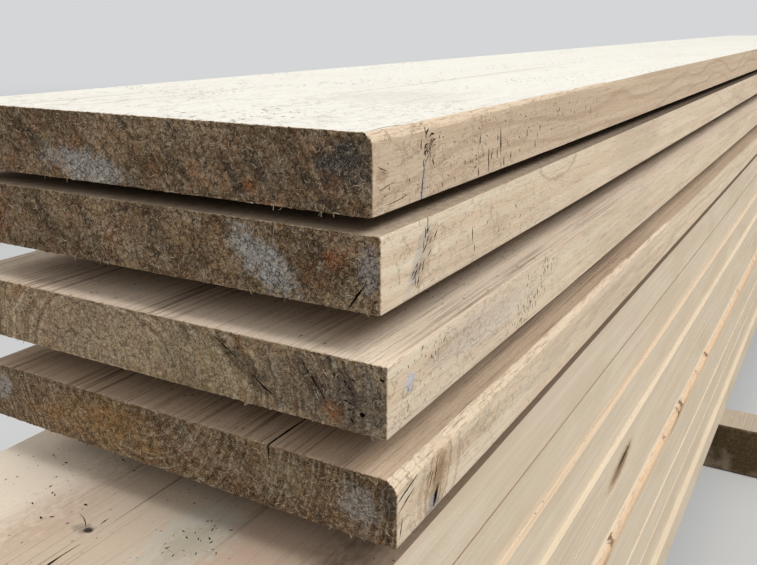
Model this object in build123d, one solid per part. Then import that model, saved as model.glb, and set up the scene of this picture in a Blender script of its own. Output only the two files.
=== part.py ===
import os
from typing import NamedTuple

from build123d import *

# A stack of rough-sawn lumber: four wide planks lie one above the other on thin spacers, over
# a close pile of ten thicker boards, and the pile lies on three bearers.
# +Y runs along the lengths, from the near ends to the far ends. +X is the open long side.

# Upper planks
plank_length = 3300.0
plank_width = 300.0
plank_thickness = 38.0
plank_arris = 1.2  # rounding of a sawn arris
plank_setback = 126.0  # of the planks' near ends, behind the foremost board's

# Lower boards, in contact
board_length = 3300.0
board_width = 300.0
board_thickness = 50.0
board_arris = 2.0

# Bearers under the pile
bearer_length = 600.0
bearer_width = 90.0
bearer_height = 100.0
bearer_arris = 4.0
bearer_count = 3
bearer_spacing = 1150.0
first_bearer = 383.0  # from the foremost board's near end to the first bearer's middle

# Spacers: laths across the planks, above each bearer
spacer_width = 40.0
spacer_arris = 0.6
spacer_inset = 50.0  # of a lath's ends, in from the nominal plank's two sides

# Wane: the bark edge that is missing from an arris. Each leg is measured along the two faces,
# at even steps along its run, and a negative leg is clear of the wood.
wane_reach = 3.0  # of the cutting prism, beyond the faces and ends
top_plank_wane = (5.0, 3.5, 2.0, 1.5, -2.0)
top_plank_wane_run = 620.0
low_plank_wane = (6.5, 4.0, 5.0, 2.0, -2.0)
low_plank_wane_run = 840.0
barky_board_wane = (8.0, 6.0, 9.0, 7.0, 8.5, 5.5, 8.0)
barky_board = 6  # counted down from the pile's top board

# Drying checks: slits along the grain, widest at the near end or in mid run
low_plank_check_run = 128.0
low_plank_check_gap = 1.6
low_plank_check_depth = 9.0
low_plank_check_in = 78.0  # from the open side
top_board_check_run = 420.0
top_board_check_gap = 1.8
top_board_check_depth = 12.0
top_board_check_in = 163.0  # from the open side
top_board_check_back = 30.0  # from the near end


class Plank(NamedTuple):
    wider: float  # than the nominal width
    side_step: float  # of its open side, in from the outermost board
    end_step: float  # of its near end, behind the setback
    gap_below: float  # filled by its spacers


class Board(NamedTuple):
    wider: float
    side_step: float
    end_step: float  # of its near end, behind the foremost board's


# From the top down
planks = (
    Plank(wider=-2.0, side_step=25.5, end_step=2.0, gap_below=8.0),
    Plank(wider=0.0, side_step=22.5, end_step=4.0, gap_below=22.0),
    Plank(wider=12.0, side_step=16.5, end_step=0.0, gap_below=24.0),
    Plank(wider=5.0, side_step=13.5, end_step=5.0, gap_below=30.0),
)
boards = (
    Board(wider=-6.0, side_step=29.0, end_step=4.0),
    Board(wider=2.0, side_step=28.0, end_step=11.0),
    Board(wider=-3.0, side_step=22.5, end_step=0.0),
    Board(wider=1.0, side_step=16.5, end_step=7.0),
    Board(wider=4.0, side_step=15.5, end_step=15.0),
    Board(wider=-2.0, side_step=8.0, end_step=3.0),
    Board(wider=3.0, side_step=11.5, end_step=9.0),
    Board(wider=0.0, side_step=9.5, end_step=1.0),
    Board(wider=-4.0, side_step=8.0, end_step=12.0),
    Board(wider=2.0, side_step=0.0, end_step=6.0),
)


# A straight sawn length: open side on x = 0, near end on y = 0, underside on z = 0
def sawn_length(width, thickness, length, arris):
    outline = Pos(-width / 2, thickness / 2) * RectangleRounded(width, thickness, arris)
    return extrude(Plane.XZ * outline, amount=-length)


# A prism that takes the bark edge off the top arris of the open side
def wane(legs, run, thickness):
    step = (run + 2 * wane_reach) / (len(legs) - 1)
    sections = []
    for place, leg in enumerate(legs):
        face = make_face(
            Polyline(
                (-leg - wane_reach, wane_reach),
                (wane_reach, -leg - wane_reach),
                (wane_reach, wane_reach),
                close=True,
            )
        )
        along = place * step - wane_reach
        sections.append(Plane((0, along, thickness), (1, 0, 0), (0, -1, 0)) * face)
    return loft(sections, ruled=True)


# A drying check from the top face: two long arcs that meet in points, or half of that shape
# where the check is open at the near end
def drying_check(run, gap, depth, open_end):
    start = -run if open_end else 0.0
    middle = (start + run) / 2
    slit = make_face(
        [
            ThreePointArc((0, start), (-gap / 2, middle), (0, run)),
            ThreePointArc((0, run), (gap / 2, middle), (0, start)),
        ]
    )
    return extrude(slit, amount=-depth)


def make_plank(number):
    place = planks[number]
    plank = sawn_length(plank_width + place.wider, plank_thickness, plank_length, plank_arris)
    if number == 0:
        plank -= wane(top_plank_wane, top_plank_wane_run, plank_thickness)
    if number == len(planks) - 1:
        plank -= wane(low_plank_wane, low_plank_wane_run, plank_thickness)
        check = drying_check(low_plank_check_run, low_plank_check_gap, low_plank_check_depth, True)
        plank -= Pos(-low_plank_check_in, 0, plank_thickness) * check
    return plank


def make_board(number):
    place = boards[number]
    board = sawn_length(board_width + place.wider, board_thickness, board_length, board_arris)
    if number == 0:
        check = drying_check(top_board_check_run, top_board_check_gap, top_board_check_depth, False)
        board -= Pos(-top_board_check_in, top_board_check_back, board_thickness) * check
    if number == barky_board - 1:
        board -= wane(barky_board_wane, board_length, board_thickness)
    return board


# A squared timber across the pile, centred on x and y, underside on z = 0
def make_bearer():
    outline = Pos(0, bearer_height / 2) * RectangleRounded(bearer_width, bearer_height, bearer_arris)
    return extrude(Plane.YZ * outline, amount=bearer_length / 2, both=True)


# A lath as thick as the gap that it keeps open, centred on x and y
def make_spacer(gap):
    outline = Pos(0, gap / 2) * RectangleRounded(spacer_width, gap, spacer_arris)
    length = plank_width - 2 * spacer_inset
    return extrude(Plane.YZ * outline, amount=length / 2, both=True)


pieces = {}
bearer_rows = [first_bearer + row * bearer_spacing for row in range(bearer_count)]
pile_middle = -board_width / 2
plank_middle = -planks[-1].side_step - plank_width / 2

for row, along in enumerate(bearer_rows, start=1):
    pieces[f"bearer_{row}"] = Pos(pile_middle, along, 0) * make_bearer()

height = bearer_height
for number in reversed(range(len(boards))):
    place = boards[number]
    seat = Pos(-place.side_step, place.end_step, height)
    pieces[f"lower_board_{number + 1:02d}"] = seat * make_board(number)
    height += board_thickness

for number in reversed(range(len(planks))):
    place = planks[number]
    for row, along in enumerate(bearer_rows, start=1):
        seat = Pos(plank_middle, along, height)
        pieces[f"spacer_{number + 1}_{row}"] = seat * make_spacer(place.gap_below)
    height += place.gap_below
    seat = Pos(-place.side_step, plank_setback + place.end_step, height)
    pieces[f"plank_{number + 1}"] = seat * make_plank(number)
    height += plank_thickness

# The origin is the middle of the stack's underside
whole = Compound(list(pieces.values())).bounding_box()
to_origin = Pos(-whole.center().X, -whole.center().Y, -whole.min.Z)

os.makedirs("parts", exist_ok=True)
for name, piece in pieces.items():
    export_step(to_origin * piece, f"parts/{name}.step")

print("stack size", whole.size, "moved by", to_origin.position)
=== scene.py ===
import math
import random
from types import SimpleNamespace

import bmesh
import bpy
from mathutils import Matrix, Vector, noise


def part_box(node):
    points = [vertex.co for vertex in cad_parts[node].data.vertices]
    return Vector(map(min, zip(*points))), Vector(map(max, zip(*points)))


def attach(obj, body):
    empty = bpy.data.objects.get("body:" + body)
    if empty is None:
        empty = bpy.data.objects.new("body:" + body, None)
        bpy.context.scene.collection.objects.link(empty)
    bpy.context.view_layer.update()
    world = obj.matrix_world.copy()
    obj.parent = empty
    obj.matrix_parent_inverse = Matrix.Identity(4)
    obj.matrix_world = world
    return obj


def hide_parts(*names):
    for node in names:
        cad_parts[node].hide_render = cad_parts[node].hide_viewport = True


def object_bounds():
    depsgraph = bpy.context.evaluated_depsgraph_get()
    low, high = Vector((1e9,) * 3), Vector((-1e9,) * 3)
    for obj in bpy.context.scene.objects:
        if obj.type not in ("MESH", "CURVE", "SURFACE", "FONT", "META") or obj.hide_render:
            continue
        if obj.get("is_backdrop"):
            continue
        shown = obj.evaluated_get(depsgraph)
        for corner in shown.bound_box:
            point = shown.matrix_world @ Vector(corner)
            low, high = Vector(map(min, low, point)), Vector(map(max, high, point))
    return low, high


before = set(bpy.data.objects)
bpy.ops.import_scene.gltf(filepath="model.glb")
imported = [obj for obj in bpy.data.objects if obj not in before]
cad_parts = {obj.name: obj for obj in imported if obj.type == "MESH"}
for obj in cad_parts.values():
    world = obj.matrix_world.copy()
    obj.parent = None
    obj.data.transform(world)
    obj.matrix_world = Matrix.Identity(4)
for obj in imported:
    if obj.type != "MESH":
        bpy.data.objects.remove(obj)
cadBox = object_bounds()
mm = 0.001


def shade(red, green, blue):  # a colour as a picture editor shows it, made linear
    def linear(value):
        value = value / 255
        return value / 12.92 if value <= 0.04045 else ((value + 0.055) / 1.055) ** 2.4

    return (linear(red), linear(green), linear(blue), 1.0)


# Camera, where the photograph was taken

cameraView = {
    "place": (0.3035, -1.8955, 0.8808),
    "right": (0.8681, 0.4964, 0.0015),
    "up": (-0.1498, 0.2592, 0.9541),
    "lens": 39.39,  # mm, on a sensor 36 mm wide
}


def makeCamera(settings):
    right = Vector(settings["right"]).normalized()
    up = Vector(settings["up"])
    up = (up - right * up.dot(right)).normalized()
    data = bpy.data.cameras.new("camera")
    data.lens = settings["lens"]
    data.sensor_width = 36
    data.sensor_fit = "HORIZONTAL"
    data.clip_start = 0.02
    data.clip_end = 60
    camera = bpy.data.objects.new("camera", data)
    turn = Matrix((right, up, right.cross(up))).transposed().to_4x4()
    camera.matrix_world = Matrix.Translation(settings["place"]) @ turn
    bpy.context.scene.collection.objects.link(camera)
    bpy.context.scene.camera = camera


makeCamera(cameraView)
print("camera set")


# Node sheets: an expression on wires adds its own nodes


def operator(operation, swapped=False):  # a method of wires
    def apply(self, other):
        return self.sheet.maths(operation, *((other, self) if swapped else (self, other)))

    return apply


class Wire:  # an output socket that can be reckoned with
    def __init__(self, sheet, socket):
        self.sheet = sheet
        self.socket = socket

    __add__ = operator("ADD")
    __radd__ = operator("ADD", True)
    __sub__ = operator("SUBTRACT")
    __rsub__ = operator("SUBTRACT", True)
    __mul__ = operator("MULTIPLY")
    __rmul__ = operator("MULTIPLY", True)
    __truediv__ = operator("DIVIDE")

    def __abs__(self):
        return self.sheet.maths("ABSOLUTE", self)

    def output(self, name):  # another output of the same node
        return Wire(self.sheet, self.socket.node.outputs[name])


class NodeSheet:
    def __init__(self, tree):
        self.tree = tree

    def node(self, kind, settings, sockets, output=0):
        made = self.tree.nodes.new(kind)
        for name, value in settings.items():
            setattr(made, name, value)
        for name, value in sockets.items():
            if isinstance(value, Wire):
                self.tree.links.new(value.socket, made.inputs[name])
            else:
                made.inputs[name].default_value = value
        return Wire(self, made.outputs[output]) if made.outputs else None

    def maths(self, operation, *values):
        return self.node("ShaderNodeMath", {"operation": operation}, dict(enumerate(values)))

    def vectorMaths(self, operation, *values):
        return self.node("ShaderNodeVectorMath", {"operation": operation}, dict(enumerate(values)))

    def step(self, value, low, high):  # 0 at low, 1 at high, smooth between
        sockets = {"Value": value, "From Min": low, "From Max": high}
        return self.node("ShaderNodeMapRange", {"interpolation_type": "SMOOTHSTEP"}, sockets)

    def point(self, x, y, z):
        return self.node("ShaderNodeCombineXYZ", {}, {"X": x, "Y": y, "Z": z})

    def split(self, vector):
        made = self.node("ShaderNodeSeparateXYZ", {}, {"Vector": vector})
        return made, made.output("Y"), made.output("Z")

    def noise(self, vector, scale, detail=2.0, roughness=0.5, distortion=0.0):
        sockets = {"Vector": vector, "Scale": scale, "Detail": detail, "Roughness": roughness}
        return self.node("ShaderNodeTexNoise", {}, {**sockets, "Distortion": distortion})

    def cells(self, vector, scale):
        return self.node("ShaderNodeTexVoronoi", {}, {"Vector": vector, "Scale": scale})

    def blend(self, amount, first, second):
        return self.node("ShaderNodeMix", {"data_type": "RGBA"}, {0: amount, 6: first, 7: second}, 2)

    def stretched(self, here, across, along, shift):  # coordinates for a pattern that runs along the wood
        scaled = self.vectorMaths("MULTIPLY", here, (across, along, across))
        return self.vectorMaths("ADD", scaled, shift)

    def blot(self, here, turn, frayed, row):  # an ellipse, or its outline, with a frayed rim
        near = self.node("ShaderNodeMapping", {"vector_type": "TEXTURE"}, {"Vector": here, **turn})
        reach = self.node("ShaderNodeVectorMath", {"operation": "LENGTH"}, {0: near}, "Value")
        reach = reach + (frayed - 0.5) * (2 * row["ragged"])
        if row.get("outline"):
            return self.step(abs(reach - 0.9), 0.12, 0.03) * row["amount"]
        return self.step(reach, 1.1, 0.5) * row["amount"]

    def store(self, geometry, name, value, domain):  # a number that is kept on the mesh
        settings = {"data_type": "FLOAT", "domain": domain}
        sockets = {"Geometry": geometry, "Name": name, "Value": value}
        return self.node("GeometryNodeStoreNamedAttribute", settings, sockets)

    def drawn(self, low, high, seed):  # a number drawn for each point
        sockets = {2: low, 3: high, "Seed": seed}
        return self.node("FunctionNodeRandomValue", {"data_type": "FLOAT"}, sockets, 1)

    def kept(self, name):  # a number that was kept on the mesh
        return self.node("ShaderNodeAttribute", {"attribute_name": name}, {}, "Fac")


# Wood

faraway = 5000.0  # mm, the reach of a blot through the piece

plankLook = {
    "pale": shade(247, 230, 204),
    "warm": shade(237, 213, 183),
    "line": shade(156, 118, 90),
    "bleached": shade(250, 246, 234),
    "highlight": shade(250, 242, 226),
    "speck": shade(92, 70, 54),
    "corner": shade(240, 218, 188),
    "cornerAmount": 0.6,
    "cornerLine": shade(140, 100, 74),
    "cornerLines": 0.35,
    "cornerKnots": 0.0,
    "lineScale": 0.17,
    "lineAmount": 0.3,
    "lineWidth": 0.035,
    "crazed": 0.5,
    "crazedTop": 0.0,
    "speckEnd": 4000.0,
    "crazeReach": 420.0,
    # painted shade: faces that look down are darkened, as if shaded under the pile
    "under": shade(92, 78, 62),
    "underAmount": 0.85,
    "endDark": shade(118, 92, 64),
    "endMid": shade(166, 138, 104),
    "endGrey": shade(184, 170, 150),
    "endRed": shade(164, 114, 78),
    "endSlant": shade(70, 52, 36),
    "slantAmount": 0.55,
    "endStrand": shade(232, 218, 192),
    "endPit": shade(32, 23, 16),
    "cloud": shade(216, 193, 168),
    "cloudAmount": 0.5,
    "lateAmount": 0.3,
    "fibreAmount": 0.45,
    "napAmount": 0.3,
    "topCalm": 0.0,
    "speckAmount": 0.85,
    "speckReach": 0.3,
    "dashAmount": 0.5,
    "strandAmount": 0.42,
    "pitAmount": 0.44,
    "crackAmount": 0.95,
    "ringGate": 0.4,
    "feltGate": 0.35,
    "squash": 1.0,
    "drift": 60.0,
    "wobble": 10.0,
    "ringAmount": 0.2,
    "stains": (),  # on the near end
    "sideStains": (),
    "topStains": (),
    "wane": None,
    "cuts": (),
}

stainShades = {
    "mould": shade(192, 188, 182),
    "rust": shade(176, 108, 60),
    "damp": shade(80, 76, 72),
    "blue": shade(166, 168, 176),
    "frost": shade(214, 214, 220),
    "olive": shade(170, 156, 122),
    "pale": shade(196, 176, 146),
    "golden": shade(186, 146, 94),
    # umber: dark marks on the ends, and, spread over plank_2's top, painted shade of the gap under plank_1
    "umberAndPaintedShade": shade(70, 54, 42),
    "speckled": shade(176, 150, 122),
    "sore": shade(150, 112, 92),
    "halo": shade(190, 156, 112),
    "knot": shade(128, 98, 72),
    "pitch": shade(44, 34, 30),
    # bark: the colour of the barky board's knots and bark, and painted shade in a band along board_01's
    # top under plank_4
    "bark": shade(104, 70, 46),
    # painted light: a pale patch on board_01's top where light from the left falls
    "paintedLightPatch": shade(246, 230, 208),
    "barkish": shade(244, 206, 164),
    "pink": shade(196, 158, 136),
    "weathered": shade(128, 120, 112),
    "mouldy": shade(206, 200, 184),
    "streaky": shade(186, 176, 162),
}


def grownRadius(sheet, here, look):  # distance from the heart of the tree, which wanders along the wood
    shift = look.shift
    x, y, z = sheet.split(here)
    drift = sheet.noise(sheet.stretched(here, 0.15, 1.0, shift), 0.0022, 1.0)
    wobble = sheet.noise(sheet.stretched(here, 1.0, 0.12, shift), 0.035, 2.0, 0.55)
    across = (x - look.heart[0] + (drift - 0.5) * look.drift) * look.squash
    rise = z - look.heart[1]
    return sheet.maths("SQRT", across * across + rise * rise) + (wobble - 0.5) * look.wobble


def crackle(sheet, here, scale, width, gate):  # crazed lines round small scales, broken off here and there
    warp = sheet.noise(here, scale * 1.6, 4.0, 0.75).output("Color")
    bent = sheet.vectorMaths("MULTIPLY_ADD", warp, (1.3 / scale, 1.3 / scale, 1.3 / scale), here)
    sockets = {"Vector": bent, "Scale": scale}
    edge = sheet.node("ShaderNodeTexVoronoi", {"feature": "DISTANCE_TO_EDGE"}, sockets)
    broken = sheet.noise(here, scale * 0.55, 3.0, 0.7)
    return sheet.step(edge, width * scale, width * scale * 0.35) * sheet.step(broken, gate, gate + 0.1)


def blots(sheet, here, frayed, rows, axis, spot, ragged=0.5):  # masks and colours, seen along an axis
    for row in rows:
        place, size, lean = list(spot(*row["at"])), list(row["size"]), [0.0, 0.0]
        place.insert(axis, 0.0)
        size.insert(axis, faraway)
        lean.insert(axis, math.radians(row.get("lean", 0.0)))
        turn = {"Location": place, "Rotation": lean, "Scale": size}
        yield sheet.blot(here, turn, frayed, {"ragged": ragged, **row}), stainShades[row["kind"]]


def woodFace(sheet, here, facing, look):
    def stretched(across, along):
        return sheet.stretched(here, across, along, look.shift)

    def lay(amount, colour):
        nonlocal base
        base = sheet.blend(amount, base, colour)

    step = sheet.step
    fibre = sheet.noise(stretched(1.0, 0.035), 1.1, 3.0, 0.75)
    streak = sheet.noise(stretched(1.0, 0.02), 0.2, 3.0, 0.6)
    nap = sheet.noise(stretched(1.0, 0.4), 0.7, 3.0, 0.75)
    cloud = sheet.noise(stretched(1.0, 0.25), 0.016, 3.0, 0.6)
    frayed = sheet.noise(stretched(1.0, 0.6), 0.25, 4.0, 0.65)
    rings = sheet.point(grownRadius(sheet, here, look) / look.ringWidth, 0.0, 0.0)
    ring = sheet.noise(rings, 1.0, 2.0, 0.6)
    behind = sheet.split(here)[1] - look.nearEnd
    x, y, z = sheet.split(facing)
    up = step(z, 0.9, 0.98)
    aside = 1 - up
    openly = aside * step(x, 0.2, 0.5)
    corner = step(z, 0.3, 0.5) * step(x, 0.3, 0.5)

    base = sheet.blend(step(streak, 0.35, 0.65), look.warm, look.pale)
    lay(step(cloud, 0.45, 0.65) * look.cloudAmount, look.cloud)
    lay(step(ring, 0.52, 0.66) * look.lateAmount, look.line)

    def sideSpot(back, down):
        return look.nearEnd + back, look.top - down

    for mask, colour in blots(sheet, here, frayed, look.sideStains, 0, sideSpot):
        lay(mask * openly, colour)
    lay(up * look.bleach, look.bleached)

    grain = sheet.noise(stretched(1.0, 0.01), look.lineScale, 2.0, 0.5)
    lines = step(abs(grain - 0.5), look.lineWidth, look.lineWidth * 0.2) * step(cloud, 0.4, 0.6)
    thin = sheet.stretched(here, 1.0, 0.008, (5.0, 0.0, 0.0))
    thin = sheet.noise(thin, look.lineScale * 2.4, 1.0)
    thin = step(abs(thin - 0.5), 0.03, 0.008) * step(streak, 0.45, 0.6) * 0.6
    lines = sheet.maths("MAXIMUM", lines, thin) * (step(behind, 450.0, 120.0) * 0.6 + 0.4)
    lay(up * lines * look.lineAmount, look.line)

    def topSpot(inwards, back):
        return look.openSide - inwards, look.nearEnd + back

    for mask, colour in blots(sheet, here, frayed, look.topStains, 2, topSpot):
        lay(mask * up, colour)

    lay(corner * look.cornerAmount, look.corner)
    fainter = 1 - up * look.topCalm
    lay(step(fibre, 0.48, 0.28) * look.fibreAmount * fainter, look.line)
    lay(step(nap, 0.44, 0.26) * look.napAmount * fainter, look.line)
    lay(step(nap, 0.56, 0.72) * look.napAmount * 0.7, look.highlight)
    lay(corner * step(fibre, 0.5, 0.36) * look.cornerLines, look.cornerLine)
    if look.cornerKnots:
        knots = sheet.cells(stretched(0.25, 1.0), 0.022)
        spots = step(knots + (frayed - 0.5) * 0.7, 0.26, 0.12)
        lay(corner * spots * look.cornerKnots, stainShades["bark"])

    specks = sheet.cells(stretched(1.0, 0.6), 0.3)
    kinds = sheet.split(specks.output("Color"))
    gathered = step(sheet.noise(stretched(1.0, 0.35), 0.014, 3.0, 0.6), 0.46, 0.6)
    reach = specks + (1 - kinds[0]) * 0.4 + (nap - 0.5) * 0.5
    dots = step(reach, look.speckReach, look.speckReach * 0.55) * gathered
    dots = dots * step(behind, look.speckEnd, look.speckEnd * 0.6)
    lay(dots * (look.speckAmount * up + look.dashAmount * aside), look.speck)
    if look.crazed:
        craze = crackle(sheet, stretched(1.0, 0.6), 0.13, 0.5, 0.46)
        pricks = crackle(sheet, stretched(0.6, 1.0), 0.3, 0.45, 0.58)
        crazed = sheet.maths("MAXIMUM", craze * 0.7, pricks) * step(behind, look.crazeReach, 0.0)
        lay(crazed * (aside * look.crazed + up * look.crazedTop), look.speck)

    lay(step(behind + (nap - 0.5) * 2.5, 1.2, 0.4) * 0.8, look.endMid)
    # painted shade on the faces that look down
    lay(step(z, -0.7, -0.95) * look.underAmount, look.under)
    return base, fibre * 0.5 + nap * 0.6


def tornStrokes(sheet, here, cell, across, along, apart):  # short strands that lie every way, in tufts
    moved = sheet.vectorMaths("ADD", here, (13.0 * apart, 0.0, 29.0 * apart))
    warp = sheet.noise(moved, cell * 1.3, 2.0).output("Color")
    reach = 2.4 / cell
    bent = sheet.vectorMaths("MULTIPLY_ADD", warp, (reach, 0.0, reach), moved)
    tufts = sheet.cells(bent, cell)
    inside = sheet.vectorMaths("SUBTRACT", bent, tufts.output("Position"))
    angle = sheet.split(tufts.output("Color"))[0] * (2 * math.pi)
    sockets = {"Vector": inside, "Angle": angle}
    turned = sheet.node("ShaderNodeVectorRotate", {"rotation_type": "Y_AXIS"}, sockets)
    spread = sheet.vectorMaths("MULTIPLY", tufts.output("Color"), (90.0, 90.0, 90.0))
    lined = sheet.vectorMaths("MULTIPLY_ADD", turned, (along, 0.0, across), spread)
    return sheet.noise(lined, 1.0, 2.0, 0.6)


def woodEnd(sheet, here, look):
    def lay(amount, colour):
        nonlocal base
        base = sheet.blend(amount, base, colour)

    def apart(*shift):
        return sheet.vectorMaths("ADD", moved, shift)

    step = sheet.step
    moved = sheet.vectorMaths("ADD", here, look.shift)
    mottle = sheet.noise(moved, 0.03, 4.0, 0.65)
    base = sheet.blend(step(mottle, 0.38, 0.62), look.endDark, look.endMid)
    lay(step(sheet.noise(moved, 0.08, 4.0, 0.65), 0.5, 0.64) * 0.35, look.endGrey)
    lay(step(sheet.noise(apart(40.0, 0.0, 90.0), 0.05, 4.0, 0.65), 0.52, 0.64) * 0.5, look.endRed)
    x, y, z = sheet.split(moved)
    leaning = sheet.point(x * 0.77 + z * 0.64, 0.0, (x * 0.64 - z * 0.77) * 0.22)
    slant = sheet.noise(leaning, 0.085, 3.0, 0.6)
    lay(step(slant, 0.5, 0.36) * look.slantAmount, look.endSlant)

    rings = sheet.point(grownRadius(sheet, here, look) / look.ringWidth, 0.0, 7.0)
    ring = sheet.noise(rings, 1.0, 2.0, 0.6)
    clear = step(sheet.noise(moved, 0.022, 1.0), look.ringGate, look.ringGate + 0.15)
    lay(step(ring, 0.45, 0.62) * clear * look.ringAmount, look.endStrand)
    lay(step(ring, 0.45, 0.32) * clear * look.ringAmount, look.endPit)

    frayed = sheet.noise(moved, 0.14, 5.0, 0.7)
    for mask, colour in blots(sheet, here, frayed, look.stains, 1, lambda x, z: (x, z), 1.0):
        lay(mask, colour)

    tuft = sheet.noise(moved, 0.22, 3.0, 0.75)
    coarse = tornStrokes(sheet, moved, 0.26, 0.95, 0.26, 1)
    fine = tornStrokes(sheet, moved, 0.36, 1.5, 0.4, 2)
    calm = 1 - step(sheet.noise(moved, 0.045, 2.0), look.feltGate + 0.2, look.feltGate) * 0.45
    lay(step(tuft, 0.5, 0.34) * calm * 0.2, look.endPit)
    lay(step(coarse, 0.47, 0.32) * calm * look.pitAmount, look.endPit)
    lay(step(fine, 0.54, 0.7) * calm * look.strandAmount, look.endStrand)
    lay(step(coarse, 0.56, 0.7) * calm * look.strandAmount, look.endStrand)
    lay(step(fine, 0.44, 0.3) * calm * look.pitAmount, look.endPit)

    scales = crackle(sheet, moved, 0.2, 0.27, 0.37)
    flakes = crackle(sheet, apart(70.0, 0.0, 30.0), 0.38, 0.22, 0.41)
    lay(sheet.maths("MAXIMUM", scales * 0.95, flakes * 0.8) * look.crackAmount, look.endPit)
    # painted shade: the end is darkened where its felt is sunk
    lay(step(sheet.kept("hollow"), 0.5, 0.95) * 0.3, look.endPit)
    return base, tuft * 1.4


def newSheet(name):
    material = bpy.data.materials.new(name)
    material.use_nodes = True
    material.node_tree.nodes.clear()
    return material, NodeSheet(material.node_tree)


def finishSheet(sheet, colour, roughness, height, relief):
    bump = sheet.node("ShaderNodeBump", {}, {"Strength": 1.0, "Distance": relief, "Height": height})
    sockets = {"Base Color": colour, "Roughness": roughness, "Normal": bump, "Specular IOR Level": 0.15}
    surface = sheet.node("ShaderNodeBsdfPrincipled", {}, sockets)
    sheet.node("ShaderNodeOutputMaterial", {}, {"Surface": surface})


def millimetres(sheet):
    place = sheet.node("ShaderNodeTexCoord", {}, {}, "Object")
    return sheet.vectorMaths("MULTIPLY", place, (1000.0, 1000.0, 1000.0))


def sideWood(name, look):
    material, sheet = newSheet(name)
    facing = sheet.node("ShaderNodeTexCoord", {}, {}, "Normal")
    colour, height = woodFace(sheet, millimetres(sheet), facing, look)
    finishSheet(sheet, colour, 0.82, height, 0.0006)
    return material


def endWood(name, look):
    material, sheet = newSheet(name)
    colour, height = woodEnd(sheet, millimetres(sheet), look)
    finishSheet(sheet, colour, 0.88, height, 0.0009)
    return material


def paintedShadeCrackWood():  # the walls of cracks and pits, coloured near black: painted shade in the cracks
    material, sheet = newSheet("paintedShadeCrackWood")
    here = millimetres(sheet)
    tone = sheet.noise(sheet.stretched(here, 1.0, 0.2, (7.0, 3.0, 5.0)), 0.7, 3.0, 0.6)
    colour = sheet.blend(sheet.step(tone, 0.35, 0.65), shade(30, 20, 14), shade(72, 52, 38))
    finishSheet(sheet, colour, 0.9, tone, 0.0004)
    return material


# Sawn lengths: a closed skin of loops along y, fine at the near end, with a grid across each end

endLoop = 0.6 * mm  # from each end to the next loop
endArris = 0.35 * mm  # of the sawn ends
arrisRun = 260 * mm  # from the near end, where the long arrises have faded out
waneWaves = (22 * mm, 7 * mm)  # lengths of the waves in the edge of a wane
rimReach = 1.4 * mm  # of the ragged rims, along the skin
rimGrain = 1.5 * mm  # of the ragged rims
rimClear = 1.3 * mm  # from a rim to the first inner points of its end

sawnGrid = {
    "across": 240,  # cells over the width of a plank, a multiple of 8
    "up": 32,  # cells over the thickness, a multiple of 8
    "gather": 0.45,
    "zones": (  # reach from the near end, step, halvings of the loop
        (30 * mm, 1.6 * mm, 0),
        (300 * mm, 3.2 * mm, 1),
        (1000 * mm, 12 * mm, 2),
        (3180 * mm, 40 * mm, 3),
        (3300 * mm, 10 * mm, 2),
    ),
}


def gatheredSteps(low, high, count, gather):  # closer together towards both ends
    for number in range(count + 1):
        share = number / count
        share -= gather * math.sin(2 * math.pi * share) / (2 * math.pi)
        yield low + (high - low) * share


def stationsAlong(length, zones):
    places = [(0.0, zones[0][2]), (endLoop, zones[0][2])]
    for reach, step, halvings in zones:
        start = places[-1][0]
        reach = min(reach, length)
        count = max(1, round((reach - start) / step))
        for number in range(1, count + 1):
            places.append((start + (reach - start) * number / count, halvings))
    last = places.pop()
    places.append((length - endLoop, last[1]))
    places.append((length, last[1]))
    return places


def legAt(legs, run, along):
    step = run / (len(legs) - 1)
    place = max(0.0, along / step)
    first = min(int(place), len(legs) - 2)
    share = min(place - first, 1.0)
    return legs[first] * (1 - share) + legs[first + 1] * share


def shapedPoint(x, z, along, low, high, shape, onSkin):
    arris = shape["arris"] * max(0.0, 1 - along / arrisRun)
    if onSkin and arris > 0:  # the four long arrises are rounded where they lie near
        centreX = min(max(x, low.x + arris), high.x - arris)
        centreZ = min(max(z, low.z + arris), high.z - arris)
        out = Vector((x - centreX, z - centreZ))
        if centreX != x and centreZ != z:
            out = out.normalized() * arris
            x = centreX + out.x
            z = centreZ + out.y
    if shape["wane"]:
        legs, run = shape["wane"]
        wobble = noise.noise(Vector((7.0, along / waneWaves[0], shape["seed"])))
        wobble += noise.noise(Vector((3.0, along / waneWaves[1], shape["seed"]))) * 0.8
        leg = legAt(legs, run, along) * mm * (1 + 0.18 * wobble)
        near = (high.x - x) + (high.z - z)
        if leg > 0 and onSkin and near < leg:
            sink = (leg - near) / 2
            sink -= 0.08 * leg * math.sin(math.pi * min(1.0, (high.x - x + sink) / leg))
            x -= sink
            z -= sink
        elif leg > 0 and not onSkin and near < 3 * leg:
            sink = (leg - near / 3) / 2
            x -= sink
            z -= sink
    return x, z


def raggedRim(x, z, fromEnd, seed):
    reach = max(0.0, 1 - fromEnd / rimReach)
    if reach == 0:
        return x, z
    spot = Vector((x, z, seed)) / rimGrain
    x += noise.noise(spot) * 0.5 * mm * reach
    z += noise.noise(spot + Vector((50, 9, 3))) * 0.6 * mm * reach
    return x, z


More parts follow.
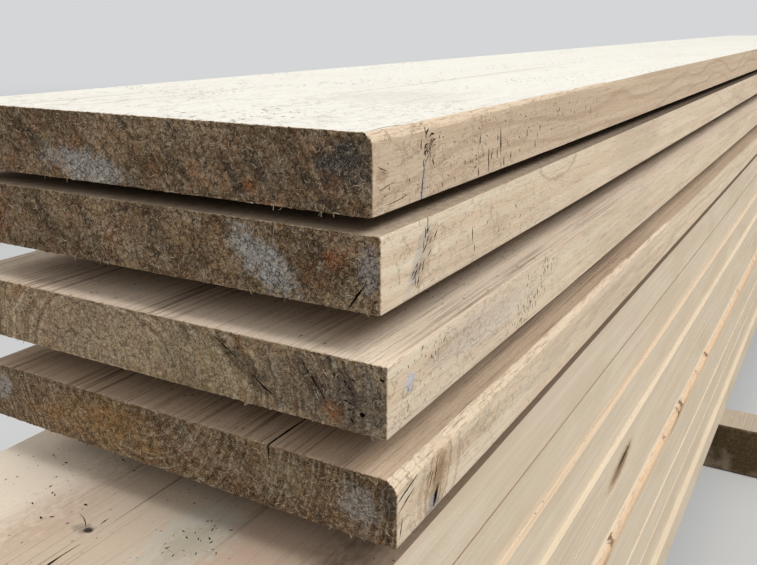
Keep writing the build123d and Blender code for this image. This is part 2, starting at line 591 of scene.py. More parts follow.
def sawnMesh(name, low, high, shape, grid):
    across = list(gatheredSteps(low.x, high.x, grid["across"], grid["gather"]))
    up = list(gatheredSteps(low.z, high.z, grid["up"], grid["gather"]))
    rim = [(x, low.z) for x in across[:-1]]
    rim += [(high.x, z) for z in up[:-1]]
    rim += [(x, high.z) for x in reversed(across[1:])]
    rim += [(low.x, z) for z in reversed(up[1:])]
    length = high.y - low.y
    points = []
    faces = []
    loops = []

    def addPoint(x, z, along, onSkin):
        fromEnd = min(along, length - along)
        x, z = shapedPoint(x, z, along, low, high, shape, onSkin)
        if onSkin and fromEnd == 0:  # the sawn end's own small arris
            x += math.copysign(min(endArris, abs(middle.x - x)), middle.x - x)
            z += math.copysign(min(endArris, abs(middle.z - z)), middle.z - z)
        if onSkin:
            x, z = raggedRim(x, z, fromEnd, shape["seed"])
        points.append((x, low.y + along, z))
        return len(points) - 1

    middle = (low + high) / 2
    for along, halvings in stationsAlong(length, grid["zones"]):
        stride = 2**halvings
        loops.append((stride, [addPoint(x, z, along, True) for x, z in rim[::stride]]))
    for near, far in zip(loops, loops[1:]):
        joinLoops(near[1], far[1], faces)
    capEnd(across, up, loops[0], 0.0, addPoint, faces, False)
    capEnd(across, up, loops[-1], length, addPoint, faces, True)
    mesh = bpy.data.meshes.new(name)
    mesh.from_pydata(points, [], faces)
    mesh.polygons.foreach_set("use_smooth", [True] * len(mesh.polygons))
    return mesh


def joinLoops(nearLoop, farLoop, faces):
    count = min(len(nearLoop), len(farLoop))
    for number in range(count):
        following = (number + 1) % count
        if len(nearLoop) == len(farLoop):
            faces.append((nearLoop[number], farLoop[number], farLoop[following], nearLoop[following]))
        elif len(nearLoop) > count:  # two steps of the near loop meet one of the far loop
            first, mid, last = nearLoop[2 * number], nearLoop[2 * number + 1], nearLoop[2 * following]
            faces.append((first, farLoop[number], mid))
            faces.append((mid, farLoop[number], farLoop[following]))
            faces.append((mid, farLoop[following], last))
        else:
            first, mid, last = farLoop[2 * number], farLoop[2 * number + 1], farLoop[2 * following]
            faces.append((nearLoop[number], first, mid))
            faces.append((nearLoop[number], mid, nearLoop[following]))
            faces.append((nearLoop[following], mid, last))


def squeezed(place, places):
    middle = (places[0] + places[-1]) / 2
    half = places[-1] - middle
    return middle + (place - middle) * (half - rimClear) / (places[-2] - middle)


def capEnd(across, up, loop, along, addPoint, faces, farSide):
    stride, ring = loop
    columns = across[::stride]
    rows = up[::stride]
    wide = len(columns) - 1
    tall = len(rows) - 1
    inside = {}

    def corner(column, row):
        if row == 0:
            return ring[column]
        if column == wide:
            return ring[wide + row]
        if row == tall:
            return ring[wide + tall + wide - column]
        if column == 0:
            return ring[2 * wide + tall + tall - row]
        if (column, row) not in inside:  # the inner points keep clear of the rounded rim
            x = squeezed(columns[column], columns)
            z = squeezed(rows[row], rows)
            inside[column, row] = addPoint(x, z, along, False)
        return inside[column, row]

    for column in range(wide):
        for row in range(tall):
            cell = [corner(column, row), corner(column + 1, row)]
            cell += [corner(column + 1, row + 1), corner(column, row + 1)]
            faces.append(cell[::-1] if farSide else cell)


def newPiece(name, mesh):
    piece = bpy.data.objects.new(name, mesh)
    bpy.context.scene.collection.objects.link(piece)
    return piece


# Geometry Nodes


def geometryTree(name, **inputs):
    tree = bpy.data.node_groups.new(name, "GeometryNodeTree")
    tree.is_modifier = True
    tree.interface.new_socket("Geometry", in_out="OUTPUT", socket_type="NodeSocketGeometry")
    for kind, labels in {"Geometry": ("Geometry",), **inputs}.items():
        for label in labels:
            tree.interface.new_socket(label, in_out="INPUT", socket_type="NodeSocket" + kind)
    sheet = NodeSheet(tree)
    start = sheet.node("NodeGroupInput", {}, {})
    return tree, sheet, {socket.name: Wire(sheet, socket) for socket in start.socket.node.outputs}


def closeTree(sheet, geometry, material, endMaterial=None):
    whole = sheet.node("GeometryNodeRealizeInstances", {}, {"Geometry": geometry})
    dressed = sheet.node("GeometryNodeSetMaterial", {}, {"Geometry": whole, "Material": material})
    if endMaterial:
        onEnd = sheet.node("GeometryNodeInputNamedAttribute", {"data_type": "FLOAT"}, {"Name": "onEnd"})
        sockets = {"Geometry": dressed, "Selection": sheet.maths("GREATER_THAN", onEnd, 0.5)}
        dressed = sheet.node("GeometryNodeSetMaterial", {}, {**sockets, "Material": endMaterial})
    sheet.node("NodeGroupOutput", {}, {"Geometry": dressed})


def roughSawnTree():  # sinks the skin: torn felt on the sawn ends, shallow fibres and waves elsewhere
    tree, sheet, given = geometryTree(
        "roughSawn",
        Float=("Felt Depth", "Fibre Depth", "Wave Depth"),
        Vector=("Pattern Shift",),
        Material=("Material", "End Material"),
    )
    place = sheet.node("GeometryNodeInputPosition", {}, {})
    normal = sheet.node("GeometryNodeInputNormal", {}, {})
    here = sheet.vectorMaths("MULTIPLY", place, (1000.0, 1000.0, 1000.0))
    here = sheet.vectorMaths("ADD", here, given["Pattern Shift"])
    isEnd = sheet.step(abs(sheet.split(normal)[1]), 0.45, 0.8)
    felt = sheet.noise(here, 0.3, 3.0, 0.7, 0.5)
    knap = abs(sheet.noise(here, 0.22, 2.0, 0.5, 1.0) - 0.5) * 4.0
    hollow = sheet.step(felt, 0.62, 0.3) * 0.7 + sheet.step(knap, 0.3, 0.0) * 0.3
    fibre = sheet.noise(sheet.vectorMaths("MULTIPLY", here, (1.0, 0.06, 1.0)), 0.35, 2.0, 0.6)
    wave = sheet.noise(sheet.vectorMaths("MULTIPLY", here, (0.3, 1.0, 0.3)), 0.02, 1.0)
    facing = fibre * given["Fibre Depth"] + wave * given["Wave Depth"]
    depth = hollow * given["Felt Depth"] * isEnd + facing * (1 - isEnd)
    bent = sheet.maths("GREATER_THAN", sheet.node("GeometryNodeInputMeshEdgeAngle", {}, {}), 0.35)
    sockets = {"Geometry": given["Geometry"], "Selection": bent, "Shade Smooth": False}
    crisp = sheet.node("GeometryNodeSetShadeSmooth", {"domain": "EDGE"}, sockets)
    marked = sheet.store(crisp, "hollow", hollow * isEnd, "POINT")
    marked = sheet.store(marked, "onEnd", isEnd, "FACE")
    sunk = sheet.node("ShaderNodeVectorMath", {"operation": "SCALE"}, {0: normal, "Scale": depth * -1.0})
    moved = sheet.node("GeometryNodeSetPosition", {}, {"Geometry": marked, "Offset": sunk})
    closeTree(sheet, moved, given["Material"], given["End Material"])
    return tree


strandForm = {  # in lengths of the strand
    "bends": ((0.3, 0.05), (-0.2, 0.15), (0.45, 0.0), (0.05, 0.2), (-0.4, 0.05)),  # aside, up
    "radius": 0.062,
    "root": 1.15,  # times the radius
    "taper": 0.9,
    "leastTurn": (-0.2, -0.2, 0.0),
    "mostTurn": (0.2, 0.15, 2 * math.pi),
    "sizes": (0.35, 1.25),  # times the given length
    "farShare": 0.2,  # of the near end's density
}


def tornFibreTree(form):  # short curled strands that lie on the sawn ends
    tree, sheet, given = geometryTree(
        "tornFibres",
        Float=("Density", "Length"),
        Int=("Seed",),
        Vector=("Low Corner", "High Corner"),
        Material=("Material",),
    )
    normal = sheet.node("GeometryNodeInputNormal", {}, {})
    place = sheet.node("GeometryNodeInputPosition", {}, {})
    isEnd = sheet.maths("GREATER_THAN", abs(sheet.split(normal)[1]), 0.6)
    nearHalf = sheet.maths("LESS_THAN", sheet.split(place)[1], 0.0)
    density = given["Density"] * isEnd * (nearHalf * (1 - form["farShare"]) + form["farShare"])
    sockets = {"Mesh": given["Geometry"], "Density": density, "Seed": given["Seed"]}
    scattered = sheet.node("GeometryNodeDistributePointsOnFaces", {}, sockets, "Points")
    kinds = sheet.tree.nodes.new("GeometryNodeGeometryToInstance")
    for bend, rise in form["bends"]:
        sockets = {"Resolution": 2, "Start": (0.0, 0.0, 0.0), "Middle": (0.5, bend, rise)}
        sockets["End"] = (1.0, bend * 0.3, rise * 0.4)
        strand = sheet.node("GeometryNodeCurveQuadraticBezier", {}, sockets)
        along = sheet.node("GeometryNodeSplineParameter", {}, {}, "Factor")
        width = form["root"] - along * form["taper"]
        strand = sheet.node("GeometryNodeSetCurveRadius", {}, {"Curve": strand, "Radius": width})
        sockets = {"Resolution": 3, "Radius": form["radius"]}
        ring = sheet.node("GeometryNodeCurvePrimitiveCircle", {}, sockets)
        sockets = {"Curve": strand, "Profile Curve": ring, "Fill Caps": True}
        tube = sheet.node("GeometryNodeCurveToMesh", {}, sockets)
        sheet.tree.links.new(tube.socket, kinds.inputs["Geometry"])
    sockets = {0: form["leastTurn"], 1: form["mostTurn"], "Seed": given["Seed"]}
    spin = sheet.node("FunctionNodeRandomValue", {"data_type": "FLOAT_VECTOR"}, sockets)
    turn = sheet.node("FunctionNodeEulerToRotation", {}, {"Euler": spin})
    sockets = {"Rotation": scattered.output("Rotation"), "Rotate By": turn}
    laid = sheet.node("FunctionNodeRotateRotation", {"rotation_space": "LOCAL"}, sockets)
    long = sheet.drawn(*form["sizes"], given["Seed"]) * given["Length"]
    sockets = {
        "Points": scattered,
        "Instance": Wire(sheet, kinds.outputs["Instances"]),
        "Pick Instance": True,
        "Rotation": laid,
        "Scale": sheet.point(long, long, long),
    }
    strands = sheet.node("GeometryNodeInstanceOnPoints", {}, sockets)
    toned = sheet.store(strands, "strandTone", sheet.drawn(0.0, 1.0, given["Seed"]), "INSTANCE")
    whole = sheet.node("GeometryNodeRealizeInstances", {}, {"Geometry": toned})
    spot = sheet.vectorMaths("MAXIMUM", place, given["Low Corner"])
    spot = sheet.vectorMaths("MINIMUM", spot, given["High Corner"])
    within = sheet.node("GeometryNodeSetPosition", {}, {"Geometry": whole, "Position": spot})
    closeTree(sheet, within, given["Material"])
    return tree


def evaluatedMesh(piece):  # the mesh with the piece's modifiers in it, which are then cleared
    depsgraph = bpy.context.evaluated_depsgraph_get()
    mesh = bpy.data.meshes.new_from_object(piece.evaluated_get(depsgraph), depsgraph=depsgraph)
    piece.modifiers.clear()
    return mesh


def runNodes(piece, tree, settings):
    modifier = piece.modifiers.new(tree.name, "NODES")
    modifier.node_group = tree
    for item in tree.interface.items_tree:
        if item.in_out == "INPUT" and item.name in settings:
            modifier[item.identifier] = settings[item.name]
    return evaluatedMesh(piece)


roughSawn = roughSawnTree()
tornFibres = tornFibreTree(strandForm)
paintedShadeCrackMaterial = paintedShadeCrackWood()


def strandWood():
    material, sheet = newSheet("strandWood")
    tone = sheet.kept("strandTone")
    here = millimetres(sheet)
    patch = sheet.noise(here, 0.07, 2.0)
    colour = sheet.blend(sheet.step(tone, 0.35, 1.1), shade(92, 72, 50), shade(214, 198, 170))
    colour = sheet.blend(sheet.step(patch, 0.45, 0.7) * 0.4, colour, shade(140, 108, 76))
    finishSheet(sheet, colour, 0.8, patch, 0.0002)
    return material


strandMaterial = strandWood()


# Cracks and pits: blades that are cut out of the skin, sizes in mm

bladeRise = 0.6  # of a blade's top, over the skin
bladeEdge = 0.2  # of the width, at the blade's deep edge
rimMargin = 1.5  # from a face's long edges, where no blade starts


def bladeMesh(points, faces, place, along, outward, blade, chance):
    across = outward.cross(along)
    steps = blade.get("steps", 5)
    rise = outward * bladeRise * mm
    base = len(points)
    for number in range(steps + 1):
        share = number / steps
        if blade.get("open"):
            full = math.cos(share * math.pi / 2)
        else:
            full = math.sin(math.pi * (0.06 + 0.88 * share))
        wide = blade["width"] / 2 * max(0.12, full) * chance.uniform(0.75, 1.2)
        deep = blade["depth"] * max(0.25, full**0.5)
        bend = blade["bend"] * math.sin(math.pi * share) + chance.uniform(-0.12, 0.12) * blade["width"]
        centre = place + along * (blade["length"] * (share - blade.get("start", 0.5))) + across * bend
        points.append(centre - across * wide + rise)
        points.append(centre + across * wide + rise)
        points.append(centre + across * wide * bladeEdge - outward * deep)
        points.append(centre - across * wide * bladeEdge - outward * deep)
    for number in range(steps):
        for side in range(4):
            first = base + 4 * number + side
            second = base + 4 * number + (side + 1) % 4
            faces.append((first, first + 4, second + 4, second))
    faces.append((base, base + 1, base + 2, base + 3))
    last = base + 4 * steps
    faces.append((last + 3, last + 2, last + 1, last))


def cutBlades(piece, low, high, rows, seed):
    chance = random.Random(seed)
    points = []
    faces = []
    for row in rows:
        count = row.get("count", 1)
        spread = row.get("spread", (0.0, 0.0))
        for number in range(count):
            first = row["at"][0] + chance.gauss(0, 0.5) * spread[0]
            second = row["at"][1] + chance.gauss(0, 0.5) * spread[1]
            lean = math.radians(row.get("lean", 0.0) + chance.uniform(-1, 1) * row.get("leanSpread", 0.0))
            size = chance.uniform(0.6, 1.3) if count > 1 else 1.0
            if row["face"] != "top" and not rimMargin < second < (high.z - low.z) / mm - rimMargin:
                continue
            if row["face"] == "side":  # at = back from the near end, down from the top
                place = Vector((high.x, low.y + first * mm, high.z - second * mm))
                along = Vector((0, math.cos(lean), math.sin(lean)))
                outward = Vector((1, 0, 0))
            elif row["face"] == "top":  # at = back from the near end, in from the open side
                place = Vector((high.x - second * mm, low.y + first * mm, high.z))
                along = Vector((-math.sin(lean), math.cos(lean), 0))
                outward = Vector((0, 0, 1))
            else:  # at = in from the open side, down from the top
                place = Vector((high.x - first * mm, low.y, high.z - second * mm))
                along = Vector((math.cos(lean), 0, math.sin(lean)))
                outward = Vector((0, -1, 0))
            sizes = {key: row.get(key, 0.0) * mm * size for key in ("length", "width", "depth", "bend")}
            bladeMesh(points, faces, place, along, outward, {**row, **sizes}, chance)
    mesh = bpy.data.meshes.new("blades")
    mesh.from_pydata(points, [], faces)
    mesh.materials.append(paintedShadeCrackMaterial)
    cutter = newPiece("blades", mesh)
    modifier = piece.modifiers.new("cuts", "BOOLEAN")
    modifier.operation = "DIFFERENCE"
    modifier.solver = "MANIFOLD"
    modifier.material_mode = "TRANSFER"
    modifier.object = cutter
    piece.data = evaluatedMesh(piece)
    bpy.data.objects.remove(cutter)
    shell = bmesh.new()
    shell.from_mesh(piece.data)
    for edge in shell.edges:  # the rims of the cuts stay crisp
        kinds = {face.material_index for face in edge.link_faces}
        if len(kinds) > 1:
            edge.smooth = False
    shell.to_mesh(piece.data)
    shell.free()


# Planks


def makeSawnPiece(node, seed, look, shape, grid, fibres):
    low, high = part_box(node)
    shape = {**shape, "wane": look.wane, "seed": seed}
    wood = newPiece(node + "_wood", sawnMesh(node + "_wood", low, high, shape, grid))
    settings = {
        "Felt Depth": shape["feltDepth"] * mm,
        "Fibre Depth": shape["fibreDepth"] * mm,
        "Wave Depth": shape["waveDepth"] * mm,
        "Pattern Shift": (17.0 * seed, 0.0, 29.0 * seed),
        "Material": sideWood(node + "Side", look),
        "End Material": endWood(node + "End", look),
    }
    wood.data = runNodes(wood, roughSawn, settings)
    if look.cuts:
        cutBlades(wood, low, high, look.cuts, seed)
    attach(wood, "root")
    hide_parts(node)
    hang = fibres["overhang"]
    settings = {
        "Density": fibres["density"],
        "Length": fibres["length"] * mm,
        "Seed": seed,
        "Low Corner": tuple(low - Vector((0.0, hang, hang))),
        "High Corner": tuple(high),
        "Material": strandMaterial,
    }
    strands = newPiece(node + "_fibres", runNodes(wood, tornFibres, settings))
    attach(strands, "root")


def pieceLook(low, high, shift, own):  # where the piece lies, in mm, and what is its own
    edges = {"nearEnd": low.y / mm, "top": high.z / mm, "openSide": high.x / mm}
    return SimpleNamespace(**{**plankLook, "shift": shift, **edges, **own})


def stain(kind, at, size, amount, **more):  # a blot of colour
    return {"kind": kind, "at": at, "size": size, "amount": amount, **more}


def cut(face, at, length, width, depth, **more):  # a blade that opens a crack or a pit
    return {"face": face, "at": at, "length": length, "width": width, "depth": depth, **more}


def scatter(face, at, spread, count, size, lean, leanSpread, steps=3, **more):  # many small blades
    more = {"spread": spread, "count": count, "lean": lean, "leanSpread": leanSpread, **more}
    return cut(face, at, *size, steps=steps, **more)


plank1 = {
    "wane": ((5.0, 3.5, 2.0, 1.5, -2.0), 620 * mm),
    "heart": (-160.0, 700.0),
    "ringWidth": 3.4,
    "ringAmount": 0.2,
    "bleach": 0.9,
    "warm": shade(216, 191, 162),
    "pale": shade(228, 206, 178),
    "bleached": shade(251, 248, 237),
    "dashAmount": 0.8,
    "napAmount": 0.45,
    "lineAmount": 0.12,
    "topCalm": 0.5,
    "speckAmount": 0.95,
    "speckReach": 0.42,
    "crazedTop": 0.45,
    "topStains": (
        stain("streaky", (241, 60), (3, 70), 0.4, ragged=0.9),
        stain("streaky", (205, 120), (4, 120), 0.25, ragged=1),
        stain("streaky", (120, 420), (5, 300), 0.3, ragged=1),
        stain("speckled", (74, 163), (50, 60), 0.12, ragged=1),
    ),
    "sideStains": (
        stain("blue", (50, 29), (2.4, 14), 0.6, lean=-9, ragged=0.7),
        stain("speckled", (57, 14), (8, 7), 0.35),
        stain("sore", (9, 20), (7, 4), 0.5),
    ),
    "stains": (
        stain("mould", (-55, 806.5), (36, 12), 0.9, lean=10),
        stain("umberAndPaintedShade", (47, 811), (19, 4), 0.8, lean=48),
        stain("umberAndPaintedShade", (63, 813), (19, 3.5), 0.7, lean=48),
        stain("umberAndPaintedShade", (91, 812), (18, 4.5), 0.8, lean=45),
        stain("umberAndPaintedShade", (10, 814), (19, 4), 0.65, lean=45),
        stain("umberAndPaintedShade", (-100, 822), (19, 5), 0.65, lean=30),
        stain("rust", (57, 807), (6, 7), 0.7),
        stain("rust", (104, 815), (9, 5), 0.5),
        stain("rust", (-62, 819), (8, 6), 0.5),
        stain("damp", (109, 822), (20, 14), 0.9),
    ),
    "cuts": (
        cut("side", (50, 29), 22, 1.1, 5, lean=79, bend=1),
        cut("side", (149.6, 21), 18, 1.9, 7, lean=97),
        cut("side", (132.4, 30), 15, 1.5, 6, lean=96),
        scatter("side", (56, 14), (10, 7), 18, (5, 1.3, 4), 55, 50, bend=0.8, steps=4),
        cut("top", (18, 5), 34, 1, 2, bend=1),
        scatter("side", (90, 26), (90, 18), 90, (1.8, 0.9, 1.6), 60, 180),
        scatter("side", (160, 24), (50, 14), 18, (4.5, 1.4, 3), 92, 14),
        scatter("side", (240, 14), (110, 12), 36, (2.2, 1.1, 1.6), 75, 120),
        scatter("side", (330, 20), (30, 14), 8, (7, 1.2, 2), 92, 10),
        cut("side", (14, 26), 18, 0.6, 2, lean=8, bend=0.8),
        cut("side", (24, 33), 26, 0.6, 2, lean=4, bend=-0.6),
        cut("side", (9, 17), 10, 0.6, 2, lean=-20),
        scatter("side", (252.9, 13.4), (3, 2), 2, (3, 1.6, 2), 90, 0),
    ),
}

plank2 = {
    "wane": None,
    "heart": (-60.0, 800.0),
    "ringWidth": 3.1,
    "ringAmount": 0.2,
    "bleach": 0.55,
    "bleached": shade(196, 172, 146),
    "lineAmount": 0.4,
    # painted shade: the umber sheet over the whole top darkens it as the shade of the gap under plank_1
    "topStains": (stain("umberAndPaintedShade", (150, 1700), (600, 2000), 0.85, ragged=0.2),),
    "sideStains": (
        stain("knot", (252, 0), (43, 13.6), 0.28, ragged=0.25, outline=True),
        stain("blue", (38, 19), (6, 25), 0.4, lean=-34, ragged=0.8),
        stain("speckled", (46, 20), (7, 20), 0.4, lean=-34, ragged=0.8),
    ),
    "stains": (
        stain("mould", (62, 769), (30, 13), 0.95, lean=36),
        stain("umberAndPaintedShade", (98, 774), (14, 15), 0.4),
        stain("umberAndPaintedShade", (-4, 772), (20, 6), 0.5, lean=40),
        stain("umberAndPaintedShade", (-92, 770), (20, 6), 0.45, lean=30),
        stain("rust", (-142, 772), (20, 20), 0.45),
        stain("rust", (103, 776), (7, 9), 0.6),
        stain("blue", (121, 774), (9, 14), 0.5),
    ),
    "cuts": (
        cut("end", (12.8, 30), 18, 1.4, 6, lean=55),
        scatter("side", (48, 12), (7, 9), 12, (5.5, 1, 2), 60, 30, steps=4),
        scatter("side", (38, 26), (7, 9), 12, (5.5, 1, 2), 60, 30, steps=4),
        cut("side", (103.8, 21.6), 10, 1.3, 3, lean=95),
        cut("side", (107, 30), 5, 1.2, 3, lean=85),
        scatter("side", (190, 22), (60, 14), 16, (3, 1, 1.6), 80, 40),
    ),
}

plank3 = {
    "wane": None,
    "heart": (-56.5, 697.0),
    "ringWidth": 3.0,
    "ringAmount": 0.6,
    "bleach": 0.7,
    "bleached": shade(246, 224, 200),
    "line": shade(126, 92, 68),
    "lineAmount": 0.7,
    "lineWidth": 0.04,
    "crackAmount": 0.75,
    "slantAmount": 0.35,
    "endMid": shade(190, 162, 126),
    "endDark": shade(148, 120, 88),
    "feltGate": 0.5,
    "ringGate": 0.3,
    "squash": 0.66,
    "drift": 0.0,
    "sideStains": (
        stain("frost", (22.6, 16), (6, 6), 0.8, ragged=1.2),
        stain("blue", (120, 16), (90, 12), 0.2, ragged=0.9),
    ),
    "stains": (
        stain("pale", (-50, 706), (70, 26), 0.55),
        stain("olive", (20, 706), (55, 22), 0.45),
        stain("damp", (98, 710), (50, 26), 0.35),
        stain("umberAndPaintedShade", (50, 713), (31, 7), 0.6, lean=34),
        stain("umberAndPaintedShade", (92, 712), (22, 6.5), 0.65, lean=53),
        stain("umberAndPaintedShade", (110, 716), (18, 5.5), 0.6, lean=52),
        stain("umberAndPaintedShade", (-150, 706), (20, 5), 0.5, lean=60),
        stain("rust", (103, 700), (8, 8), 0.7),
        stain("damp", (118, 708), (26, 22), 0.45),
    ),
    "cuts": (
        scatter("end", (20, 16), (18, 16), 22, (2.4, 1.4, 2.5), -45, 50),
        cut("end", (96, 9), 22, 1.3, 3, lean=-34, steps=7),
        cut("end", (72, 26), 20, 1.5, 3, lean=-36, steps=7),
        cut("end", (41, 16), 26, 1.5, 3, lean=-53, steps=7),
        cut("end", (13.7, 27.2), 3.4, 3, 5, steps=4),
        scatter("side", (49, 6), (30, 6), 16, (2.4, 1.1, 1.5), 60, 60),
        scatter("side", (181, 30), (22, 6), 26, (4, 1.1, 1.8), 80, 30),
        scatter("side", (206, 20), (28, 10), 30, (3.4, 1.1, 1.8), 80, 30),
        scatter("side", (224, 8), (30, 6), 22, (3.4, 1.1, 1.8), 80, 30),
        scatter("side", (30, 26), (18, 10), 8, (4, 0.8, 1.3), 80, 30),
    ),
}

plank4 = {
    "wane": ((6.5, 4.0, 5.0, 2.0, -2.0), 840 * mm),
    "heart": (-33.0, 682.0),
    "ringWidth": 2.8,
    "ringAmount": 0.35,
    "bleach": 0.6,
    "bleached": shade(194, 162, 132),
    "line": shade(120, 86, 62),
    "lineAmount": 0.85,
    "lineWidth": 0.04,
    "ringGate": 0.3,
    "drift": 0.0,
    "crackAmount": 0.85,
    "pitAmount": 0.42,
    "endRed": shade(140, 96, 60),
    "endMid": shade(134, 104, 69),
    "sideStains": (
        stain("halo", (46, 20), (17, 27), 0.45, lean=-24, ragged=0.6),
        stain("knot", (46, 22), (8, 22), 0.5, lean=-24, ragged=0.9),
        stain("knot", (47, 21), (15, 25), 0.4, lean=-24, ragged=0.25, outline=True),
        stain("knot", (50, 20), (25, 36), 0.3, lean=-24, ragged=0.25, outline=True),
        stain("blue", (42, 34), (9, 7), 0.6, lean=-20, ragged=0.8),
        stain("pitch", (44.5, 30), (2.4, 7), 0.95, lean=-24, ragged=0.5),
    ),
    "stains": (
        stain("mould", (-158, 654), (10, 12), 0.8),
        stain("golden", (-70, 648), (60, 20), 0.5),
        stain("umberAndPaintedShade", (-14, 650), (20, 3.5), 0.55, lean=48),
        stain("umberAndPaintedShade", (40, 654), (18, 4), 0.4, lean=45),
        stain("olive", (66, 650), (22, 16), 0.4),
        stain("mould", (114, 649), (15, 13), 0.55, lean=20),
        stain("damp", (131, 656), (8, 14), 0.6),
    ),
    "cuts": (
        cut("top", (0, 78), 128, 1.6, 9, open=True, start=0.02, steps=12),
        cut("side", (44.5, 30.5), 12, 4, 5, lean=66),
        cut("side", (11, 9), 24, 1.7, 4, lean=14, steps=8),
        cut("side", (10, 15), 20, 1.4, 3, lean=20, steps=8),
        cut("side", (5, 28), 12, 1.4, 3, lean=75),
        scatter("side", (46, 20), (9, 20), 10, (8, 0.9, 1.8), 66, 10, steps=4),
    ),
}

plankShape = {"arris": 1.2 * mm, "feltDepth": 1.1, "fibreDepth": 0.25, "waveDepth": 0.3}
plankFibres = {"density": 100000.0, "length": 2.5, "overhang": 1.5 * mm}

for number, own in enumerate((plank1, plank2, plank3, plank4), 1):
    node = f"plank_{number}"
    look = pieceLook(*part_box(node), (37.0 * number, 211.0 * number, 53.0 * number), own)
    makeSawnPiece(node, number, look, plankShape, sawnGrid, plankFibres)
    print(node, "made")


# Lower boards

boardGrid = {
    "across": 96,
    "up": 16,
    "gather": 0.6,
    "zones": (
        (24 * mm, 3.0 * mm, 0),
        (400 * mm, 10.0 * mm, 1),
        (3200 * mm, 40 * mm, 2),
        (3300 * mm, 12 * mm, 2),
    ),
}

boardLook = {
    "ringWidth": 3.2,
    "bleach": 0.65,
    "bleached": shade(244, 229, 203),
    "lineScale": 0.1,
    "lineAmount": 0.4,
    "lineWidth": 0.02,
    "lateAmount": 0.06,
    "napAmount": 0.08,
    "fibreAmount": 0.05,
    "pale": shade(240, 225, 201),
    "warm": shade(232, 213, 188),
    "cloud": shade(222, 204, 174),
    "dashAmount": 0.1,
    "speckAmount": 0.6,
    "crazed": 0.0,
    "corner": shade(250, 238, 214),
    "cornerAmount": 0.85,
    "cornerLines": 0.1,
}

topBoard = {
    "bleached": shade(203, 181, 158),
    "lineAmount": 0.5,
    "lineWidth": 0.025,
    "fibreAmount": 0.12,
    "speckReach": 0.24,
    "speckEnd": 500.0,
    "speckAmount": 0.95,
    "topStains": (
        # painted light: a pale patch on the left of the top, where light from the left falls
        stain("paintedLightPatch", (275, 120), (85, 160), 1, ragged=0.6),
        stain("pink", (70, 140), (60, 90), 0.35, ragged=0.8),
        stain("pink", (200, 90), (26, 60), 0.25, ragged=0.8),
        stain("mouldy", (112, 118), (26, 46), 0.8, ragged=1.2),
        stain("olive", (110, 112), (14, 26), 0.35, ragged=1.3),
        stain("knot", (94, 260), (2.5, 190), 0.4, ragged=0.6),
        stain("knot", (197, 230), (2.5, 120), 0.35, ragged=0.6),
        # painted shade: a dark bark-coloured band along the open side of the top, where plank_4 overhangs
        stain("bark", (0, 1700), (60, 2600), 0.65, ragged=0.3),
        stain("weathered", (173, 93), (8, 6), 0.55, ragged=0.9),
        stain("pitch", (169, 93), (4, 3), 0.95, ragged=0.5),
        stain("knot", (163, 240), (2, 150), 0.35, ragged=0.5),
    ),
    "cuts": (
        cut("top", (30, 163), 52, 3, 12, start=0, steps=8, open=True),
        cut("top", (90, 163), 360, 0.7, 9, start=0, steps=24),
        scatter("top", (140, 232), (50, 34), 26, (2.4, 1.9, 1.2), 0, 180),
        scatter("top", (90, 205), (30, 24), 8, (3, 2, 1.2), 0, 180),
        scatter("top", (116, 112), (34, 20), 26, (2.6, 1.3, 1), 0, 180),
        cut("top", (98, 180), 20, 0.8, 2, lean=60, bend=-1.5),
        cut("top", (104, 168), 7, 1.4, 2, lean=5),
    ),
}

knottyBoard = {
    "sideStains": (
        stain("halo", (650, 33), (62, 17), 0.6, lean=8),
        stain("knot", (650, 34), (46, 11), 0.7, lean=8),
        stain("pitch", (664, 29), (32, 4), 0.85, lean=8),
    ),
}

barkyBoard = {
    "wane": ((8.0, 6.0, 9.0, 7.0, 8.5, 5.5, 8.0), 3300 * mm),
    "corner": shade(240, 210, 176),
    "cornerAmount": 0.6,
    "cornerLines": 0.4,
    "cornerKnots": 0.8,
    "sideStains": (
        stain("barkish", (1300, 9), (2400, 9), 0.8, ragged=2.2),
        stain("halo", (560, 16), (70, 9), 0.5, lean=4),
        stain("halo", (980, 14), (80, 8), 0.5, lean=3),
        stain("bark", (985, 9), (22, 4), 0.8, lean=6),
    ),
}


def strip(red, green, blue, amount):  # the strip of top and arris that shows on the open side
    colour = shade(red, green, blue)
    return {"corner": colour, "bleached": colour, "cornerAmount": amount}


boards = {  # what is a board's own, by its number from the top
    1: topBoard,
    2: strip(140, 108, 82, 0.9),
    3: strip(240, 217, 191, 0.8),
    4: knottyBoard,
    5: strip(226, 206, 178, 0.4),
    6: barkyBoard,
    9: strip(236, 220, 196, 0.5),
    10: strip(236, 222, 198, 0.6),
}
boardShape = {"arris": 0.8 * mm, "feltDepth": 1.2, "fibreDepth": 0.2, "waveDepth": 0.4}
boardFibres = {"density": 18000.0, "length": 2.6, "overhang": 0.0}

for number in range(1, 11):
    node = f"lower_board_{number:02d}"
    low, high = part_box(node)
    heart = (40.0 * math.sin(number), low.z / mm - 60.0)
    own = {**boardLook, "heart": heart, **boards.get(number, {})}
    look = pieceLook(low, high, (71.0 * number, 331.0 * number, 13.0 * number), own)
    makeSawnPiece(node, 10 + number, look, boardShape, boardGrid, boardFibres)
print("boards made")


# Bearers and spacers

# dark sides: weathered wood, darkened further as painted shade under the pile; the top stays pale
bearerWeatheringAndShade = {
    "pale": shade(106, 90, 62),
    "warm": shade(84, 71, 48),
    "line": shade(60, 46, 34),
    "bleach": 0.75,
    "bleached": shade(214, 200, 180),
}

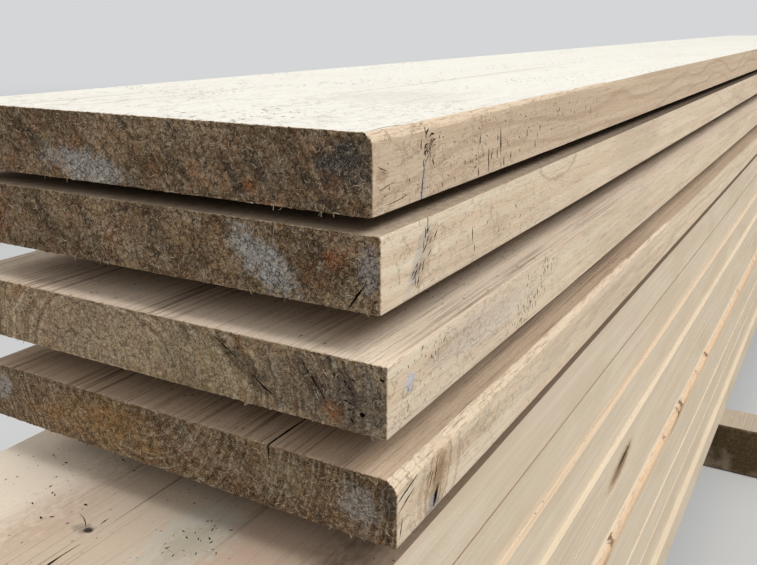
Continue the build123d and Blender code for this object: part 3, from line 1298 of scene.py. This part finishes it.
for node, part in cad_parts.items():
    if node.startswith(("bearer", "spacer")):
        low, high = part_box(node)
        own = {
            "heart": (0.0, low.z / mm - 40.0),
            "ringWidth": 3.0,
            "nearEnd": low.y / mm - 50,
            "bleach": 0.2,
            **(bearerWeatheringAndShade if node.startswith("bearer") else {}),
        }
        look = pieceLook(low, high, (91.0, 31.0, low.y * 100), own)
        part.data.materials.clear()
        part.data.materials.append(sideWood(node + "Wood", look))
print("bearers and spacers dressed")


# Floor and light

stageLook = {
    "floorRadius": 14.0,
    "floorSeen": (0.66, 0.66, 0.65, 1.0),
    "floorBounce": (0.42, 0.4, 0.37, 1.0),
    "skySeen": (0.66, 0.67, 0.68, 1.0),
    "skyColour": (0.94, 0.97, 1.0, 1.0),
    "skyLow": 0.1,
    "skyHigh": 0.42,
    "lamps": (  # place, size, power
        ("key", (6.5, -1.9, 8.8), 5.0, 820.0),
        ("front", (-5.2, -7.2, 5.6), 5.0, 195.0),
        ("fill", (-5.5, 6.5, 6.5), 5.0, 120.0),
    ),
}


def seenDirectly(sheet):
    ray = sheet.node("ShaderNodeLightPath", {}, {}, "Is Camera Ray")
    mirrored = sheet.maths("MAXIMUM", ray.output("Is Glossy Ray"), ray.output("Is Transmission Ray"))
    return sheet.maths("MAXIMUM", ray, mirrored)


def makeFloor(settings):
    bpy.ops.mesh.primitive_circle_add(vertices=96, radius=settings["floorRadius"], fill_type="NGON")
    floor = bpy.context.object
    floor.name = "floor"
    material, sheet = newSheet("floor")
    here = sheet.node("ShaderNodeTexCoord", {}, {}, "Object")
    away = sheet.node("ShaderNodeVectorMath", {"operation": "LENGTH"}, {0: here}, "Value")
    colour = sheet.blend(seenDirectly(sheet), settings["floorBounce"], settings["floorSeen"])
    plain = sheet.node("ShaderNodeBsdfDiffuse", {}, {"Color": colour})
    clear = sheet.node("ShaderNodeBsdfTransparent", {}, {})
    fade = sheet.step(away, settings["floorRadius"] * 0.25, settings["floorRadius"] * 0.9)
    surface = sheet.node("ShaderNodeMixShader", {}, {0: fade, 1: plain, 2: clear})
    sheet.node("ShaderNodeOutputMaterial", {}, {"Surface": surface})
    floor.data.materials.append(material)
    floor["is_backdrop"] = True


def makeSky(settings):
    world = bpy.data.worlds.new("sky")
    bpy.context.scene.world = world
    world.use_nodes = True
    world.node_tree.nodes.clear()
    sheet = NodeSheet(world.node_tree)
    direction = sheet.node("ShaderNodeTexCoord", {}, {}, "Generated")
    height = sheet.step(sheet.split(direction)[2], -0.05, 0.75)
    strength = height * (settings["skyHigh"] - settings["skyLow"]) + settings["skyLow"]
    lit = sheet.node("ShaderNodeBackground", {}, {"Color": settings["skyColour"], "Strength": strength})
    seen = sheet.node("ShaderNodeBackground", {}, {"Color": settings["skySeen"], "Strength": 1.0})
    both = sheet.node("ShaderNodeMixShader", {}, {0: seenDirectly(sheet), 1: lit, 2: seen})
    sheet.node("ShaderNodeOutputWorld", {}, {"Surface": both})


def makeLamps(settings):
    for name, place, size, power in settings["lamps"]:
        lamp = bpy.data.lights.new(name, "AREA")
        lamp.size = size
        lamp.energy = power
        holder = bpy.data.objects.new(name, lamp)
        holder.location = place
        holder.rotation_euler = Vector(place).to_track_quat("Z", "Y").to_euler()
        bpy.context.scene.collection.objects.link(holder)


makeFloor(stageLook)
makeSky(stageLook)
makeLamps(stageLook)
bpy.context.scene.view_settings.view_transform = "Standard"
print("stage set")

boxes = [[list(corner) for corner in box] for box in (cadBox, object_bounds())]
